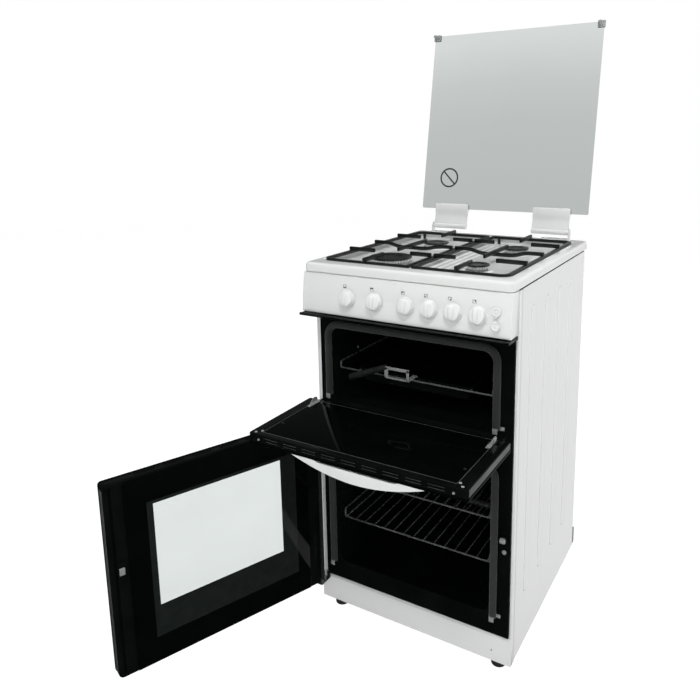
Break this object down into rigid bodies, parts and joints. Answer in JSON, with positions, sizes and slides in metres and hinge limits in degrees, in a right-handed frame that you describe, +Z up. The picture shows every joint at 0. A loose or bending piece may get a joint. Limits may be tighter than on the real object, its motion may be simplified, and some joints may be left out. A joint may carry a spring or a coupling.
{
  "type": "freestanding gas range",
  "caption": "Freestanding gas cooker with a glass lid over the burners, a drop-down grill door and a side-hinged oven door, wire shelves and control knobs.",
  "frame": {"origin": "on the floor, at the bottom centre of the box of the part as it stands with its doors and lid open", "axes": "+X to the cooker's right as seen from the front, +Y to its back, +Z up; the front faces -Y"},
  "size_m": [0.6901, 1.1451, 1.4723],
  "materials": {
    "white_enamel": "gloss",
    "panel_plastic": "satin gloss",
    "white_plastic": "satin",
    "black_enamel": "gloss",
    "cavity_enamel": "gloss enamel",
    "grate_enamel": "matt enamel",
    "cap_enamel": "matt enamel",
    "door_seal": "woven sleeve",
    "galvanised": "dull",
    "tap_aluminium": "cast",
    "burner_aluminium": "cast",
    "bright_chrome": "polished",
    "foot_plastic": "moulded",
    "lid_glass": "grey tinted",
    "door_glass": "printed black",
    "bumper_rubber": "translucent grey",
    "grip_plastic": "moulded"
  },
  "bodies": {
    "cabinet": {"side_panel_left": "white_enamel", "side_panel_right": "white_enamel", "back_panel": "galvanised", "base_pan": "galvanised", "plinth": "white_enamel", "front_frame": "black_enamel", "top_oven_liner": "cavity_enamel", "main_oven_liner": "cavity_enamel", "top_oven_gasket": "door_seal", "main_oven_gasket": "door_seal", "hob_top": "white_enamel", "control_panel": "panel_plastic", "control_panel_trim": "black_enamel", "gas_manifold": "tap_aluminium", "grill_burner": "burner_aluminium", "oven_burner": "burner_aluminium", "burner_crown_fl": "burner_aluminium", "burner_crown_fr": "burner_aluminium", "burner_crown_rl": "burner_aluminium", "burner_crown_rr": "burner_aluminium", "burner_cap_fl": "cap_enamel", "burner_cap_fr": "cap_enamel", "burner_cap_rl": "cap_enamel", "burner_cap_rr": "cap_enamel", "foot_front_left": "foot_plastic", "foot_front_right": "foot_plastic", "foot_rear_left": "foot_plastic", "foot_rear_right": "foot_plastic", "lid_bracket_left": "white_enamel", "lid_bracket_right": "white_enamel", "door_catch": "bright_chrome"},
    "lid": {"lid_glass": "lid_glass", "lid_hinge_cover_left": "white_plastic", "lid_hinge_cover_right": "white_plastic", "lid_bumper_left": "bumper_rubber", "lid_bumper_right": "bumper_rubber"},
    "top_door": {"top_door_frame": "black_enamel", "top_door_outer_glass": "door_glass", "top_door_inner_glass": "door_glass", "top_door_handle": "white_plastic"},
    "main_door": {"main_door_frame": "black_enamel", "main_door_outer_glass": "door_glass", "main_door_inner_glass": "door_glass", "main_door_handle": "white_plastic", "main_door_latch": "bright_chrome"},
    "pan_support_left": {"pan_support_left": "grate_enamel"},
    "pan_support_right": {"pan_support_right": "grate_enamel"},
    "oven_shelf_upper": {"oven_shelf_upper": "bright_chrome"},
    "oven_shelf_lower": {"oven_shelf_lower": "bright_chrome"},
    "grill_shelf": {"grill_shelf": "bright_chrome"},
    "grill_pan": {"grill_pan": "cavity_enamel", "grill_pan_handle": "grip_plastic"},
    "button_1": {"button_1": "white_plastic"},
    "button_2": {"button_2": "white_plastic"},
    "knob_1": {"knob_1": "white_plastic"},
    "knob_2": {"knob_2": "white_plastic"},
    "knob_3": {"knob_3": "white_plastic"},
    "knob_4": {"knob_4": "white_plastic"},
    "knob_5": {"knob_5": "white_plastic"},
    "knob_6": {"knob_6": "white_plastic"}
  },
  "joints": [
    {"name": "lid_hinge", "type": "hinge", "parent": "cabinet", "child": "lid", "pos_m": [0.095, 0.4614, 0.918], "axis": [1, 0, 0], "range_deg": [0, 100.2]},
    {"name": "top_door_hinge", "type": "hinge", "parent": "cabinet", "child": "top_door", "pos_m": [0.095, -0.1166, 0.558], "axis": [-1, 0, 0], "range_deg": [0, 90]},
    {"name": "main_door_hinge", "type": "hinge", "parent": "cabinet", "child": "main_door", "pos_m": [-0.148, -0.1131, 0.3], "axis": [0, 0, 1], "range_deg": [0, 111.8]},
    {"name": "knob_1_turn", "type": "hinge", "parent": "cabinet", "child": "knob_1", "pos_m": [-0.032, -0.12588, 0.829], "axis": [0, -0.9935, 0.114], "range_deg": [0, 270]},
    {"name": "knob_2_turn", "type": "hinge", "parent": "cabinet", "child": "knob_2", "pos_m": [0.0372, -0.12588, 0.829], "axis": [0, -0.9935, 0.114], "range_deg": [0, 210]},
    {"name": "knob_3_turn", "type": "hinge", "parent": "cabinet", "child": "knob_3", "pos_m": [0.1136, -0.12588, 0.829], "axis": [0, -0.9935, 0.114], "range_deg": [0, 210]},
    {"name": "knob_4_turn", "type": "hinge", "parent": "cabinet", "child": "knob_4", "pos_m": [0.1676, -0.12588, 0.829], "axis": [0, -0.9935, 0.114], "range_deg": [0, 210]},
    {"name": "knob_5_turn", "type": "hinge", "parent": "cabinet", "child": "knob_5", "pos_m": [0.2218, -0.12588, 0.829], "axis": [0, -0.9935, 0.114], "range_deg": [0, 210]},
    {"name": "knob_6_turn", "type": "hinge", "parent": "cabinet", "child": "knob_6", "pos_m": [0.2753, -0.12588, 0.829], "axis": [0, -0.9935, 0.114], "range_deg": [0, 210]},
    {"name": "button_1_press", "type": "slide", "parent": "cabinet", "child": "button_1", "axis": [0, 0.9935, -0.114], "range_m": [0, 0.003], "stiffness_N_per_m": 400},
    {"name": "button_2_press", "type": "slide", "parent": "cabinet", "child": "button_2", "axis": [0, 0.9935, -0.114], "range_m": [0, 0.003], "stiffness_N_per_m": 400},
    {"name": "pan_support_left_lift", "type": "slide", "parent": "cabinet", "child": "pan_support_left", "axis": [0, 0, -1], "range_m": [-0.06, 0]},
    {"name": "pan_support_right_lift", "type": "slide", "parent": "cabinet", "child": "pan_support_right", "axis": [0, 0, -1], "range_m": [-0.06, 0]},
    {"name": "oven_shelf_upper_slide", "type": "slide", "parent": "cabinet", "child": "oven_shelf_upper", "axis": [0, 1, 0], "range_m": [-0.25, 0]},
    {"name": "oven_shelf_lower_slide", "type": "slide", "parent": "cabinet", "child": "oven_shelf_lower", "axis": [0, 1, 0], "range_m": [-0.25, 0]},
    {"name": "grill_shelf_slide", "type": "slide", "parent": "cabinet", "child": "grill_shelf", "axis": [0, 1, 0], "range_m": [-0.2, 0]},
    {"name": "grill_pan_lift", "type": "slide", "parent": "grill_shelf", "child": "grill_pan", "axis": [0, 0, -1], "range_m": [-0.05, 0]}
  ]
}
